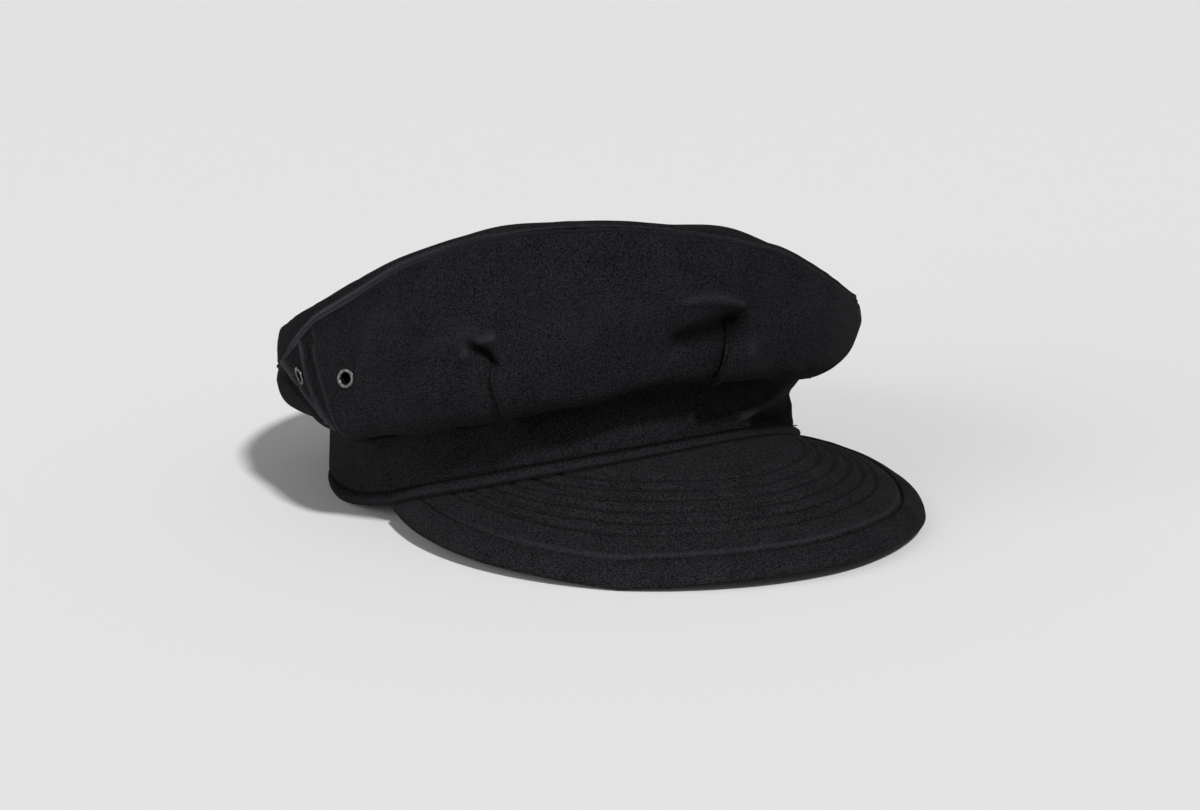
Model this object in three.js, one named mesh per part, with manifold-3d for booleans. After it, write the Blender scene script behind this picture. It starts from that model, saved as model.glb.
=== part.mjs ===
// Utility cap of black napped cloth: a head band standing on its lower edge, a wide soft crown
// that is pleated down onto the band and slumps to the back, a stitched peak, and four metal
// eyelets that air the crown's sides. Millimetres, +Z up, the peak towards -Y, the wearer's left
// towards +X. Angles go round the head from 0 at the front, growing towards +X.

import * as THREE from 'three';
import { mergeVertices } from 'three/addons/utils/BufferGeometryUtils.js';
import Module from 'manifold-3d';

const wasm = await Module();
wasm.setup();

// The head band: a nearly round oval, measured on its outside
const BAND_HALF_WIDTH = 92;
const BAND_HALF_LENGTH = 95;
const BAND_HEIGHT = 28;
const BAND_WALL = 2.8;
const WELT_HEIGHT = 4.5; // the turned and stitched lower edge
const WELT_RAISE = 0.7;

// The band's lower edge arches up over the brow, where the peak carries it
const BROW_LIFT = 34.1;
const TIP_LIFT = 8.0; // where the peak's two ends meet the band
const BROW_SHARPNESS = 0.93;
const WAIST_ANGLE = 54; // where the soft band is drawn in under the crown's low side
const WAIST_DEPTH = 2.2;
const WAIST_SPREAD = 22;
const HEEL_SPREAD = 0.3; // how much of the way to the back the edge takes to reach the ground

// The peak, measured from the band
const PEAK_TIP_ANGLE = 82.1;
const PEAK_REACH = 70.8;
const PEAK_ROUNDING = 1.67;
const PEAK_TAPER = 1.18;
const PEAK_THICKNESS = 3.2;
const PEAK_END_THICKNESS = 1.6;
const PEAK_CAMBER = 2.8; // how far it bulges above a straight line from band to edge
const PEAK_END = 0.975; // the share of the tip angle at which the sewn-in ends stop
const EDGE_CENTRE_LIFT = 3.9; // the middle of the front edge stands off the ground
const EDGE_CENTRE_SPREAD = 0.3656;
const BORDER_WIDTH = 9.5; // the bound border along the edge
const BORDER_GROOVE = 0.7;

// The crown's cloth
const CLOTH = 2.0;
const SEAM_GAP = 0.3; // between pieces that are sewn or set together
const CROWN_PROFILE_STEPS = [0, 0.5, 1.05, 1.5, 1.8, 2.05, 2.3, 2.7, 3.2, 3.7, 4.3, 5.1, 6];

// The crown's side, a row for each direction. Out is from the band's face: seamOut and seamZ place
// the seam between side and top, shoulder is how far the top panel stands above that seam, belly
// is the widest place, and the lip is the lowest place of the overhang, lipDrop below the band's top.
// Under is how far up from lip to belly the cloth turns in.
const CROWN_ROWS = [
  { angle: -180, seamOut: 20, seamZ: 46, shoulder: 12.0, bellyOut: 22.0, bellyZ: 40, under: 0.45, lipOut: 6, lipDrop: 2.5 },
  { angle: -150, seamOut: 20, seamZ: 46, shoulder: 14.0, bellyOut: 21.5, bellyZ: 40, under: 0.45, lipOut: 6, lipDrop: 2.5 },
  { angle: -130, seamOut: 20, seamZ: 47, shoulder: 17.0, bellyOut: 21.0, bellyZ: 42, under: 0.6, lipOut: 4, lipDrop: 1 },
  { angle: -115, seamOut: 19, seamZ: 52, shoulder: 18.5, bellyOut: 20.0, bellyZ: 45, under: 0.58, lipOut: 4, lipDrop: 0.5 },
  { angle: -104, seamOut: 17, seamZ: 62, shoulder: 16.0, bellyOut: 19.0, bellyZ: 48, under: 0.42, lipOut: 6, lipDrop: 0 },
  { angle: -95, seamOut: 17, seamZ: 75, shoulder: 9.5, bellyOut: 19.5, bellyZ: 52, under: 0.3, lipOut: 8, lipDrop: -0.5 },
  { angle: -82, seamOut: 18, seamZ: 92, shoulder: 4.5, bellyOut: 20.5, bellyZ: 58, under: 0.26, lipOut: 9, lipDrop: -0.8 },
  { angle: -68, seamOut: 18.5, seamZ: 106, shoulder: 3.0, bellyOut: 21.5, bellyZ: 65, under: 0.26, lipOut: 10, lipDrop: -1 },
  { angle: -52, seamOut: 19, seamZ: 117.5, shoulder: 2.4, bellyOut: 22.0, bellyZ: 72, under: 0.26, lipOut: 11, lipDrop: -0.8 },
  { angle: -32, seamOut: 19.5, seamZ: 122.5, shoulder: 1.8, bellyOut: 22.0, bellyZ: 77, under: 0.26, lipOut: 11, lipDrop: -0.2 },
  { angle: -12, seamOut: 19.5, seamZ: 118, shoulder: 1.8, bellyOut: 22.0, bellyZ: 79, under: 0.26, lipOut: 11, lipDrop: 1 },
  { angle: 7, seamOut: 19.5, seamZ: 107.5, shoulder: 1.8, bellyOut: 21.5, bellyZ: 76, under: 0.28, lipOut: 11, lipDrop: 3.4 },
  { angle: 23, seamOut: 20, seamZ: 92.5, shoulder: 2.0, bellyOut: 21.5, bellyZ: 71, under: 0.32, lipOut: 10, lipDrop: 6.5 },
  { angle: 36, seamOut: 21, seamZ: 80, shoulder: 2.4, bellyOut: 22.3, bellyZ: 68, under: 0.36, lipOut: 8, lipDrop: 8 },
  { angle: 50, seamOut: 22, seamZ: 70, shoulder: 3.5, bellyOut: 23.0, bellyZ: 64, under: 0.52, lipOut: 5, lipDrop: 8 },
  { angle: 75, seamOut: 21, seamZ: 61, shoulder: 6.0, bellyOut: 22.5, bellyZ: 53, under: 0.5, lipOut: 6, lipDrop: 6 },
  { angle: 105, seamOut: 20, seamZ: 53, shoulder: 9.0, bellyOut: 22.5, bellyZ: 45, under: 0.42, lipOut: 7, lipDrop: 4 },
  { angle: 140, seamOut: 20, seamZ: 47, shoulder: 11.0, bellyOut: 22.0, bellyZ: 41, under: 0.45, lipOut: 6, lipDrop: 3 },
];

// The pleats that take in the crown's fullness, a row each. The cloth on the far side of the line
// (larger angle) lies over the near side. Start is where the fold opens, as a share of the way from
// seam to band, and the hollow there reaches back over hollowSpread degrees.
const PLEATS = [
  { angle: -2.5, drift: -8, start: 0.335, tuck: 3.2, hollow: 6.5, hollowSpread: 6.5, hollowHeight: 0.045, crest: 2 },
  { angle: -50.5, drift: 6, start: 0.35, tuck: 3.2, hollow: 4, hollowSpread: 3, hollowHeight: 0.045, crest: 1.6 },
  { angle: -95, drift: 3, start: 0.08, tuck: 2.4, hollow: 0.5, hollowSpread: 3, hollowHeight: 0.08, crest: 0.4 },
  { angle: -138, drift: 2, start: 0.3, tuck: 2.2, hollow: 1.5, hollowSpread: 4, hollowHeight: 0.08, crest: 0.6 },
  { angle: 49, drift: -2, start: 0.3, tuck: 1.6, hollow: 1.0, hollowSpread: 4, hollowHeight: 0.08, crest: 0.4 },
  { angle: 95, drift: -2, start: 0.1, tuck: 2.2, hollow: 0.5, hollowSpread: 3, hollowHeight: 0.08, crest: 0.4 },
  { angle: 138, drift: -2, start: 0.3, tuck: 2.2, hollow: 1.5, hollowSpread: 4, hollowHeight: 0.08, crest: 0.6 },
];
const TUCK_SPREAD = 3.4; // degrees over which the lower side dips under the fold
const OVERLAP_RAISE = 0.9;
const SEAM_HOLD = 0.15; // the share of the way down over which the top seam keeps the cloth smooth

// The top panel hangs as a dome that tips away from its high front left
const TOP_CENTRE_Z = 101.6;
const TOP_HIGH_SIDE = -37.6; // the direction in which it rises
const TOP_TILT = 0.288; // rise per millimetre towards that side
const TOP_TILT_SAG = 0.0011; // fall-off per square millimetre
const TOP_CROSS_TILT = 0.093;
const TOP_CROSS_SAG = 0.00155;
const TOP_CROSS_DROP = 1.3e-7; // the steeper fall near the two sides, by the fourth power
const TOP_RINGS = [
  { share: 1.0, rise: 0.0 },
  { share: 0.997, rise: 0.5 },
  { share: 0.978, rise: 0.92 },
  { share: 0.93, rise: 1.0 },
  { share: 0.81, rise: 1.0 },
  { share: 0.58, rise: 1.0 },
  { share: 0.3, rise: 1.0 },
];
const TOP_EDGE_HOLD = 7; // how closely the panel keeps to its seam near the edge

// Eyelets, two on each side, beside the side pleat
const EYELETS = [
  { name: 'eyelet_right_front', angle: -81.0, height: 61.4 },
  { name: 'eyelet_right_rear', angle: -101.0, height: 53.5 },
  { name: 'eyelet_left_front', angle: 83.6, height: 47.0 },
  { name: 'eyelet_left_rear', angle: 101.0, height: 43.5 },
];
const EYELET_RADIUS = 3.8;
const EYELET_BORE = 1.9;
const EYELET_BARREL = 2.5;
const EYELET_RIM = 0.9;
const EYELET_SIDES = 12;
const EYELET_SEAT = 0.5; // clearance over the cloth
const EYELET_FLAT = 2.9; // degrees to either side over which the cloth lies flat

const ROUND_STEP = 6; // degrees between the crown's columns away from the pleats
const PLEAT_COLUMNS = [-3.4, -1.6, -0.35, 0.35, 1.9];
const PEAK_COLUMNS = 48;

const clothMaterial = new THREE.MeshStandardMaterial({ color: 0x1b1b1f, roughness: 0.96, metalness: 0 });
const bandMaterial = new THREE.MeshStandardMaterial({ color: 0x18181c, roughness: 0.96, metalness: 0 });
const peakMaterial = new THREE.MeshStandardMaterial({ color: 0x1c1c20, roughness: 0.95, metalness: 0 });
const eyeletMaterial = new THREE.MeshStandardMaterial({ color: 0x6c6c70, roughness: 0.35, metalness: 0.9 });

const radians = THREE.MathUtils.degToRad;
const mix = THREE.MathUtils.lerp;
const bell = (distance, spread) => Math.exp(-((distance / spread) ** 2));
const turnBetween = (a, b) => ((((a - b) % 360) + 540) % 360) - 180;

// A point at a direction round the head, out from the band's face
function roundHead(angle, out, z) {
  const a = radians(angle);
  const nx = BAND_HALF_LENGTH * Math.sin(a);
  const ny = -BAND_HALF_WIDTH * Math.cos(a);
  const length = Math.hypot(nx, ny);
  return new THREE.Vector3(
    BAND_HALF_WIDTH * Math.sin(a) + (out * nx) / length,
    -BAND_HALF_LENGTH * Math.cos(a) + (out * ny) / length,
    z,
  );
}

// The height of the band's lower edge
function bandFoot(angle) {
  const share = Math.abs(turnBetween(angle, 0)) / PEAK_TIP_ANGLE;
  if (share <= 1) {
    const arch = Math.cos((share * Math.PI) / 2) ** BROW_SHARPNESS;
    return mix(TIP_LIFT, BROW_LIFT, arch);
  }
  const back = ((share - 1) * PEAK_TIP_ANGLE) / (180 - PEAK_TIP_ANGLE);
  const fall = Math.sin((Math.min(1, back / HEEL_SPREAD) * Math.PI) / 2);
  return TIP_LIFT * (1 - fall);
}

const bandTop = (angle) => bandFoot(angle) + BAND_HEIGHT;

// A smooth curve through four neighbouring values
function throughFour(a, b, c, d, t) {
  const bend = 2 * a - 5 * b + 4 * c - d + (3 * (b - c) + d - a) * t;
  return b + 0.5 * t * (c - a + t * bend);
}

// The crown's measures at any direction, from the rows
function crownMeasures(angle) {
  const count = CROWN_ROWS.length;
  const turned = turnBetween(angle, 0);
  let row = count - 1;
  while (row > 0 && CROWN_ROWS[row].angle > turned) row -= 1;
  const rows = [-1, 0, 1, 2].map((step) => CROWN_ROWS[(row + step + count) % count]);
  const span = (rows[2].angle - rows[1].angle + 360) % 360;
  const t = (((turned - rows[1].angle) % 360) + 360) % 360 / span;
  const measures = {};
  for (const column of Object.keys(CROWN_ROWS[0])) {
    measures[column] = throughFour(...rows.map((r) => r[column]), t);
  }
  return measures;
}

// The crown side's outline at one direction, as { out, z } from the top seam down to the band,
// where the turned-in edge lies on the band's top
function crownOutline(angle) {
  const m = crownMeasures(angle);
  const top = bandTop(angle);
  const lipZ = top - m.lipDrop;
  return [
    { out: m.seamOut, z: m.seamZ - SEAM_GAP / 2 },
    { out: mix(m.seamOut, m.bellyOut, 0.7) + 0.4, z: mix(m.seamZ, m.bellyZ, 0.5) },
    { out: m.bellyOut, z: m.bellyZ },
    { out: mix(m.lipOut, m.bellyOut, 0.74), z: mix(lipZ, m.bellyZ, m.under) },
    { out: m.lipOut, z: lipZ },
    { out: Math.max(2.2, m.lipOut * 0.36), z: mix(lipZ, top, 0.45) },
    { out: 1.3, z: top + 0.35 },
  ];
}

function outlinePoint(outline, place) {
  const last = outline.length - 1;
  const i = Math.min(Math.floor(place), last - 1);
  const near = [Math.max(0, i - 1), i, i + 1, Math.min(last, i + 2)].map((k) => outline[k]);
  return {
    out: throughFour(...near.map((p) => p.out), place - i),
    z: throughFour(...near.map((p) => p.z), place - i),
  };
}

// How far a column leans with the pleats beside it, at a share of the way down
function pleatLean(angle, down) {
  let lean = 0;
  for (const pleat of PLEATS) {
    lean += pleat.drift * down * bell(turnBetween(angle, pleat.angle), 16);
  }
  return lean;
}

// What the pleats add to the side along its normal: the tuck, its hollow and the crest above it
function pleatRelief(angle, down) {
  let relief = 0;
  for (const pleat of PLEATS) {
    const across = turnBetween(angle, pleat.angle);
    if (Math.abs(across) > 30) continue;
    const opened = THREE.MathUtils.smoothstep(down, pleat.start - 0.04, pleat.start + 0.06);
    const closed = 1 - THREE.MathUtils.smoothstep(down, 0.56, 0.7);
    const under = across < 0 ? -pleat.tuck * bell(across, TUCK_SPREAD) : OVERLAP_RAISE * bell(across, 4);
    const side = across < 0 ? bell(across, pleat.hollowSpread) : bell(across, 1.2);
    const hollow = -pleat.hollow * side * bell(down - pleat.start, pleat.hollowHeight);
    const crest = pleat.crest * bell(across + 1, pleat.hollowSpread + 2)
      * bell(down - pleat.start + 0.1, 0.05);
    relief += (under * opened + hollow) * closed + crest;
  }
  return relief * THREE.MathUtils.smoothstep(down, 0, SEAM_HOLD);
}

// A closed geometry from a grid of points: rows are joined round both ways, or capped at row ends
function closedGrid(grid, joinRows) {
  const rows = grid.length;
  const columns = grid[0].length;
  const positions = grid.flat().flatMap((p) => [p.x, p.y, p.z]);
  const index = [];
  const at = (r, c) => (r % rows) * columns + (c % columns);
  for (let r = 0; r < (joinRows ? rows : rows - 1); r += 1) {
    for (let c = 0; c < columns; c += 1) {
      index.push(at(r, c), at(r + 1, c), at(r + 1, c + 1));
      index.push(at(r, c), at(r + 1, c + 1), at(r, c + 1));
    }
  }
  if (!joinRows) {
    for (const r of [0, rows - 1]) {
      for (let c = 1; c < columns - 1; c += 1) {
        index.push(...(r === 0 ? [at(r, 0), at(r, c), at(r, c + 1)] : [at(r, 0), at(r, c + 1), at(r, c)]));
      }
    }
  }
  return indexedGeometry(positions, index);
}

function indexedGeometry(positions, index) {
  const geometry = new THREE.BufferGeometry();
  geometry.setAttribute('position', new THREE.Float32BufferAttribute(positions, 3));
  geometry.setIndex(index);
  return geometry;
}

// The directions at which the crown's columns stand, closer together beside the pleats and leaving
// the cloth flat behind each eyelet
function crownColumns() {
  const angles = PLEATS.flatMap((pleat) => PLEAT_COLUMNS.map((step) => pleat.angle + step));
  const stand = (angle, room) => {
    if (angles.every((other) => Math.abs(turnBetween(angle, other)) > room)) angles.push(angle);
  };
  for (const { angle } of EYELETS) {
    stand(angle - EYELET_FLAT, 1);
    stand(angle + EYELET_FLAT, 1);
  }
  for (let angle = -180; angle < 180; angle += ROUND_STEP) {
    if (EYELETS.every((eyelet) => Math.abs(turnBetween(angle, eyelet.angle)) > EYELET_FLAT)) {
      stand(angle, ROUND_STEP / 3);
    }
  }
  return angles.sort((a, b) => a - b);
}

// The side's outer face before the pleats are raised, and its normal there
function sideFace(angle, place) {
  const down = place / 6;
  const at = (turn, level) => {
    const leaned = turn + pleatLean(turn, level / 6);
    const p = outlinePoint(crownOutline(leaned), level);
    return roundHead(leaned, p.out, p.z);
  };
  const step = 0.05;
  const point = at(angle, place);
  const round = at(angle + 1, place).sub(at(angle - 1, place));
  const low = Math.min(6, place + step);
  const high = Math.max(0, place - step);
  const along = at(angle, low).sub(at(angle, high));
  const normal = along.cross(round).normalize();
  return { point, normal, down };
}

function makeCrownSide() {
  const columns = crownColumns();
  const outside = [];
  const inside = [];
  for (const place of CROWN_PROFILE_STEPS) {
    const outRow = [];
    const inRow = [];
    for (const angle of columns) {
      const { point, normal, down } = sideFace(angle, place);
      const raised = point.clone().addScaledVector(normal, pleatRelief(angle, down));
      outRow.push(raised);
      inRow.push(raised.clone().addScaledVector(normal, -CLOTH));
    }
    outside.push(outRow);
    inside.push(inRow);
  }
  // The upper edge is cut level for the top panel to sit on, the lower one lies on the band
  columns.forEach((angle, c) => {
    const { seamOut, seamZ } = crownMeasures(angle + pleatLean(angle, 0));
    inside[0][c] = roundHead(angle, seamOut - CLOTH, seamZ - SEAM_GAP / 2);
  });
  const turnedIn = (out, lift) => columns.map((angle) => {
    const leaned = angle + pleatLean(angle, 1);
    return roundHead(leaned, out, bandTop(leaned) + lift);
  });
  const grid = [...outside, turnedIn(-0.5, 0.5), turnedIn(-2.3, 0.45), turnedIn(-2.4, 0.45 + CLOTH)];
  grid.push(turnedIn(-0.3, 0.6 + CLOTH), ...inside.slice(0, -1).reverse());
  return closedGrid(grid, true);
}

// The height of the top panel over the ground plan
function topHeight(x, y) {
  const high = radians(TOP_HIGH_SIDE);
  const towards = x * Math.sin(high) - y * Math.cos(high);
  const across = x * Math.cos(high) + y * Math.sin(high);
  return TOP_CENTRE_Z + TOP_TILT * towards - TOP_TILT_SAG * towards ** 2
    + TOP_CROSS_TILT * across - TOP_CROSS_SAG * across ** 2 - TOP_CROSS_DROP * across ** 4;
}

function makeCrownTop() {
  const columns = crownColumns();
  const outside = TOP_RINGS.map(({ share, rise }) => columns.map((angle) => {
    const m = crownMeasures(angle);
    const rim = roundHead(angle, m.seamOut, 0);
    const rimZ = m.seamZ + SEAM_GAP / 2 + m.shoulder * rise;
    const x = rim.x * share;
    const y = rim.y * share;
    const held = share ** TOP_EDGE_HOLD;
    return new THREE.Vector3(x, y, mix(topHeight(x, y), rimZ, held));
  }));
  const lined = outside.map((ring, r) => ring.map((p, c) => {
    if (r === 0) {
      const m = crownMeasures(columns[c]);
      return roundHead(columns[c], m.seamOut - CLOTH, p.z);
    }
    const after = ring[(c + 1) % ring.length].clone().sub(ring[(c + ring.length - 1) % ring.length]);
    const inner = outside[r + 1] ? outside[r + 1][c] : new THREE.Vector3(0, 0, topHeight(0, 0));
    const inward = inner.clone().sub(outside[r - 1][c]);
    return p.clone().addScaledVector(after.cross(inward).normalize(), -CLOTH);
  }));
  // The turned-in seam fills the corner below the second ring
  const inside = lined.filter((ring, r) => r !== 1);
  const rings = [...outside.slice().reverse(), ...inside];
  const count = columns.length;
  const positions = rings.flat().flatMap((p) => [p.x, p.y, p.z]);
  const upper = rings.length * count;
  const centreZ = topHeight(0, 0);
  positions.push(0, 0, centreZ, 0, 0, centreZ - CLOTH);
  const index = [];
  for (let c = 0; c < count; c += 1) {
    const next = (c + 1) % count;
    index.push(upper, c, next);
    for (let r = 0; r < rings.length - 1; r += 1) {
      const low = r * count;
      index.push(low + c, low + count + c, low + count + next, low + c, low + count + next, low + next);
    }
    const end = (rings.length - 1) * count;
    index.push(upper + 1, end + next, end + c);
  }
  return indexedGeometry(positions, index);
}

// The band's section, from its foot up: the turned edge stands proud of the face
function makeBand() {
  const section = (angle) => {
    const foot = bandFoot(angle);
    const top = bandTop(angle);
    const waist = WAIST_DEPTH * bell(turnBetween(angle, WAIST_ANGLE), WAIST_SPREAD);
    return [
      roundHead(angle, -BAND_WALL, foot),
      roundHead(angle, -BAND_WALL - waist, mix(foot, top, 0.55)),
      roundHead(angle, -BAND_WALL, top),
      roundHead(angle, 0, top),
      roundHead(angle, -waist, mix(foot, top, 0.55)),
      roundHead(angle, 0, foot + WELT_HEIGHT + 0.6),
      roundHead(angle, WELT_RAISE, foot + WELT_HEIGHT - 0.6),
      roundHead(angle, WELT_RAISE, foot),
    ].reverse();
  };
  const sections = [];
  for (let angle = -180; angle < 180; angle += ROUND_STEP) sections.push(section(angle));
  return closedGrid(sections, true);
}

// The peak at a share of its tip angle: where it leaves the band and where its edge runs
function peakLine(share) {
  const angle = share * PEAK_TIP_ANGLE;
  const far = Math.abs(share);
  const reach = PEAK_REACH * Math.max(0, 1 - far ** PEAK_ROUNDING) ** PEAK_TAPER;
  const middle = EDGE_CENTRE_LIFT * Math.max(0, 1 - (far / EDGE_CENTRE_SPREAD) ** 2);
  const side = Math.max(0, (far - EDGE_CENTRE_SPREAD) / (1 - EDGE_CENTRE_SPREAD)) ** 0.8;
  const rootZ = bandFoot(angle) - SEAM_GAP;
  const thickness = mix(PEAK_THICKNESS, PEAK_END_THICKNESS, far ** 3);
  return { angle, reach, rootZ, thickness, edgeZ: middle + (TIP_LIFT - PEAK_END_THICKNESS) * side };
}

function makePeak() {
  const sections = [];
  for (let i = 0; i <= PEAK_COLUMNS; i += 1) {
    const share = mix(-PEAK_END, PEAK_END, i / PEAK_COLUMNS);
    const { angle, reach, rootZ, thickness, edgeZ } = peakLine(share);
    const edgeTop = edgeZ + thickness;
    const border = THREE.MathUtils.clamp(1 - BORDER_WIDTH / Math.max(reach, 0.001), 0.3, 0.9);
    const camber = PEAK_CAMBER * (reach / PEAK_REACH);
    const topAt = (s, sink) => roundHead(
      angle,
      WELT_RAISE + s * reach,
      mix(rootZ, edgeTop, s) + camber * Math.sin(Math.PI * s) - sink,
    );
    const under = (s) => roundHead(
      angle,
      WELT_RAISE + s * reach,
      mix(rootZ - thickness, edgeZ, s) + camber * Math.sin(Math.PI * s),
    );
    const groove = BORDER_GROOVE * Math.min(1, reach / (3 * BORDER_WIDTH));
    const lip = Math.min(1.2, reach * 0.2);
    const edge = (back, z) => roundHead(angle, WELT_RAISE + reach - back, z);
    sections.push([
      roundHead(angle, -BAND_WALL, rootZ),
      topAt(0, 0),
      topAt(border * 0.25, 0),
      topAt(border * 0.5, 0),
      topAt(border * 0.75, 0),
      topAt(border - 0.03, 0),
      topAt(border, groove),
      topAt(border + 0.03, 0),
      edge(lip, edgeTop),
      edge(0, edgeZ + thickness * 0.65),
      edge(0, edgeZ + thickness * 0.35),
      edge(lip, edgeZ),
      under(border * 0.9),
      under(border * 0.45),
      under(0),
      roundHead(angle, -BAND_WALL, rootZ - thickness),
    ].reverse());
  }
  return closedGrid(sections, false);
}

// Where an eyelet sits: on the crown's side at a direction and a height, square to the cloth there
function eyeletPlace(side, angle, height) {
  const from = roundHead(angle, 60, height);
  const towards = roundHead(angle, -60, height).sub(from).normalize();
  const [hit] = new THREE.Raycaster(from, towards).intersectObject(side);
  const turn = new THREE.Quaternion().setFromUnitVectors(new THREE.Vector3(0, 1, 0), hit.face.normal);
  return { point: hit.point, turn };
}

// An eyelet's rim, barrel and clenched back, turned as one closed ring
function makeEyelet() {
  const back = -CLOTH - EYELET_SEAT;
  const profile = [
    [EYELET_BORE, back - EYELET_RIM],
    [EYELET_RADIUS - 0.4, back],
    [EYELET_BARREL, back],
    [EYELET_BARREL, EYELET_SEAT],
    [EYELET_RADIUS, EYELET_SEAT],
    [EYELET_RADIUS - 0.3, EYELET_SEAT + EYELET_RIM * 0.65],
    [(EYELET_RADIUS + EYELET_BORE) / 2, EYELET_SEAT + EYELET_RIM],
    [EYELET_BORE, EYELET_SEAT + EYELET_RIM * 0.3],
    [EYELET_BORE, back - EYELET_RIM],
  ].map(([r, z]) => new THREE.Vector2(r, z));
  return new THREE.LatheGeometry(profile, EYELET_SIDES);
}

function toManifold(geometry) {
  const bare = geometry.clone();
  bare.deleteAttribute('normal');
  bare.deleteAttribute('uv');
  const merged = mergeVertices(bare, 1e-4);
  return new wasm.Manifold(new wasm.Mesh({
    numProp: 3,
    vertProperties: new Float32Array(merged.attributes.position.array),
    triVerts: new Uint32Array(merged.index.array),
  }));
}

function fromManifold(solid) {
  const mesh = solid.getMesh();
  return indexedGeometry(Array.from(mesh.vertProperties), Array.from(mesh.triVerts));
}

// The side with a punched hole for each eyelet's barrel
function punchSide(side, places) {
  let solid = toManifold(side);
  for (const { point, turn } of places) {
    const punch = new THREE.CylinderGeometry(EYELET_BARREL + SEAM_GAP, EYELET_BARREL + SEAM_GAP, 16, EYELET_SIDES);
    punch.applyQuaternion(turn);
    punch.translate(point.x, point.y, point.z);
    solid = solid.subtract(toManifold(punch));
  }
  return fromManifold(solid);
}

const cap = new THREE.Group();

function add(name, geometry, material) {
  const mesh = new THREE.Mesh(geometry, material);
  mesh.name = name;
  cap.add(mesh);
  return mesh;
}

const unpunched = makeCrownSide();
unpunched.computeBoundingSphere();
const sideMesh = new THREE.Mesh(unpunched, clothMaterial);
const places = EYELETS.map(({ angle, height }) => eyeletPlace(sideMesh, angle, height));
add('crown_top', makeCrownTop(), clothMaterial);
add('crown_side', punchSide(unpunched, places), clothMaterial);
add('band', makeBand(), bandMaterial);
add('peak', makePeak(), peakMaterial);
EYELETS.forEach(({ name }, i) => {
  const mesh = add(name, makeEyelet(), eyeletMaterial);
  mesh.position.copy(places[i].point);
  mesh.quaternion.copy(places[i].turn);
});

// The cap stands on the ground, over the middle of its own plan
const box = new THREE.Box3().setFromObject(cap);
const middle = box.getCenter(new THREE.Vector3());
cap.position.set(-middle.x, -middle.y, -box.min.z);

export default cap;
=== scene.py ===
import math

import bmesh
import bpy
from mathutils import Matrix, Vector, noise
from mathutils.bvhtree import BVHTree
from mathutils.kdtree import KDTree


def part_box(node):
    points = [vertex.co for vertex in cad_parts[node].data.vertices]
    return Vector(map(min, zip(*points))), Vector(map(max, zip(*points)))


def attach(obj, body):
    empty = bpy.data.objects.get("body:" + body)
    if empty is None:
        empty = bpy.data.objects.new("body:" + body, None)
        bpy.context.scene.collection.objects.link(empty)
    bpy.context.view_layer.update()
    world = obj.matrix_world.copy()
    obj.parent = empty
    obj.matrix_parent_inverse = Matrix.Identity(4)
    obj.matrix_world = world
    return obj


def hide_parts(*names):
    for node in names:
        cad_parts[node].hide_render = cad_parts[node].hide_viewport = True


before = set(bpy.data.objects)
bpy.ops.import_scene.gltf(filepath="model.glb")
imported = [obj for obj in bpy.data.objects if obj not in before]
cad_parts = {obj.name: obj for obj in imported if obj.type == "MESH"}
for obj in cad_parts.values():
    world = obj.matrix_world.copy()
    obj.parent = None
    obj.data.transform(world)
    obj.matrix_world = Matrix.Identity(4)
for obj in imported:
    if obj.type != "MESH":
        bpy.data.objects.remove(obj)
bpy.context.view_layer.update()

# Head band
# A straight strip of the crown's black napped cotton, doubled and sewn into a round. Its lower
# edge is turned up and stitched down as a narrow welt, and arches over the brow.
MM = 0.001
BAND_HALF_WIDTH = 92.0
BAND_HALF_LENGTH = 95.0
BAND_HEIGHT = 28.0
# How the foot arches: its height over the brow and at the peak's two ends, and the share of the
# way from there to the heel in which it comes down to the ground
PEAK_END_ANGLE = 82.1
BROW_LIFT = 34.1
PEAK_END_LIFT = 8.0
BROW_SHARPNESS = 0.93
BROW_SHARPNESS_LEFT = 1.75
HEEL_SPREAD = 0.3
# Where the welt is drawn down, by a share of each height up to its top and less above that
WELT_DRAWN_DOWN = 0.28
WELT_DRAWN_ANGLE = 15.0
WELT_DRAWN_SPREAD = 45.0
WELT_TOP_UP = 5.5
DRAWN_TOP_UP = 20.0

band_low, band_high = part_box("band")
band_middle = (band_low + band_high) / 2


def head_point(angle, out, z):
    """A point round the head: degrees from the front, millimetres out from the band and up."""
    sine = math.sin(math.radians(angle))
    cosine = math.cos(math.radians(angle))
    side = Vector((BAND_HALF_LENGTH * sine, -BAND_HALF_WIDTH * cosine)).normalized()
    x = BAND_HALF_WIDTH * sine + out * side.x
    y = -BAND_HALF_LENGTH * cosine + out * side.y
    return Vector((band_middle.x + x * MM, band_middle.y + y * MM, z * MM))


def turn_between(a, b):
    """How far direction a is turned from direction b, from -180 to 180 degrees."""
    return (a - b + 180.0) % 360.0 - 180.0


def bell(distance, spread):
    """1 at no distance, falling smoothly to nearly 0 at twice the spread."""
    return math.exp(-((distance / spread) ** 2))


def step_up(value, low, high):
    """0 up to low, 1 from high on, and smooth between them."""
    t = min(1.0, max(0.0, (value - low) / (high - low)))
    return t * t * (3.0 - 2.0 * t)


def mix(a, b, t):
    """The value at a share t of the way from a to b."""
    return a + (b - a) * t


def through_four(a, b, c, d, t):
    """A smooth curve from b to c that heads on from a and towards d."""
    return b + 0.5 * t * (c - a + t * (2 * a - 5 * b + 4 * c - d + (3 * (b - c) + d - a) * t))


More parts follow.
